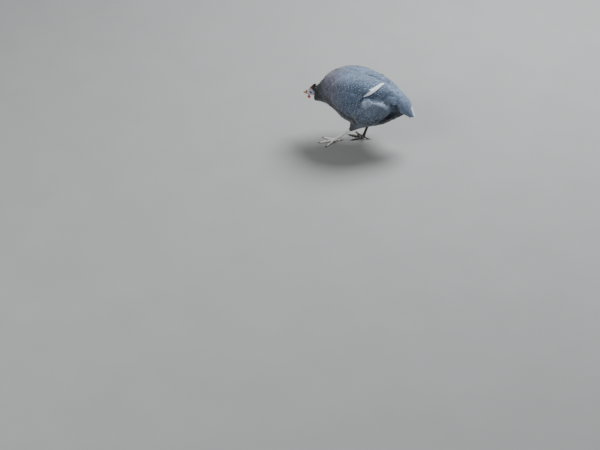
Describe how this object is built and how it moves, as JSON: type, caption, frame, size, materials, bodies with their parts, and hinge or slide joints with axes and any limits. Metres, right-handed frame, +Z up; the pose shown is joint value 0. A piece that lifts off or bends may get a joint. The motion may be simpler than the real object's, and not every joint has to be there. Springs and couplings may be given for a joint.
{
  "type": "guinea fowl",
  "caption": "Life-size still model of a standing guinea fowl, hunched, with drooping tail, horny casque, bare face and wattles, and one foot set forward.",
  "frame": {"origin": "on the floor, below the middle of the bird's bounding box", "axes": "+Z up, the bird faces -X, its left side is -Y"},
  "size_m": [0.4024, 0.1834, 0.2891],
  "materials": {
    "plumage": "grey feathers with fine white spots",
    "plumage_dark": "dark hair-like feathers",
    "bare_skin": "bare skin, matt",
    "horn": "horn, satin",
    "bill": "horn, satin",
    "wattle": "bare skin, soft",
    "eye": "wet gloss",
    "shank_pale": "scaly skin",
    "shank_dark": "scaly skin",
    "claw": "horn, satin"
  },
  "bodies": {
    "root": {"bill_lower": "bill", "bill_upper": "bill", "casque": "horn", "claw_left_back": "claw", "claw_left_inner": "claw", "claw_left_middle": "claw", "claw_left_outer": "claw", "claw_right_back": "claw", "claw_right_inner": "claw", "claw_right_middle": "claw", "claw_right_outer": "claw", "eye_left": "eye", "eye_right": "eye", "head": "bare_skin", "neck": "plumage_dark", "shank_left": "shank_pale", "shank_right": "shank_dark", "tail": "plumage", "thigh_left": "plumage", "thigh_right": "plumage", "toe_left_back": "shank_pale", "toe_left_inner": "shank_pale", "toe_left_middle": "shank_pale", "toe_left_outer": "shank_pale", "toe_right_back": "shank_dark", "toe_right_inner": "shank_dark", "toe_right_middle": "shank_dark", "toe_right_outer": "shank_dark", "trunk": "plumage", "wattle_left": "wattle", "wattle_right": "wattle", "wing_left": "plumage", "wing_right": "plumage"}
  },
  "joints": []
}
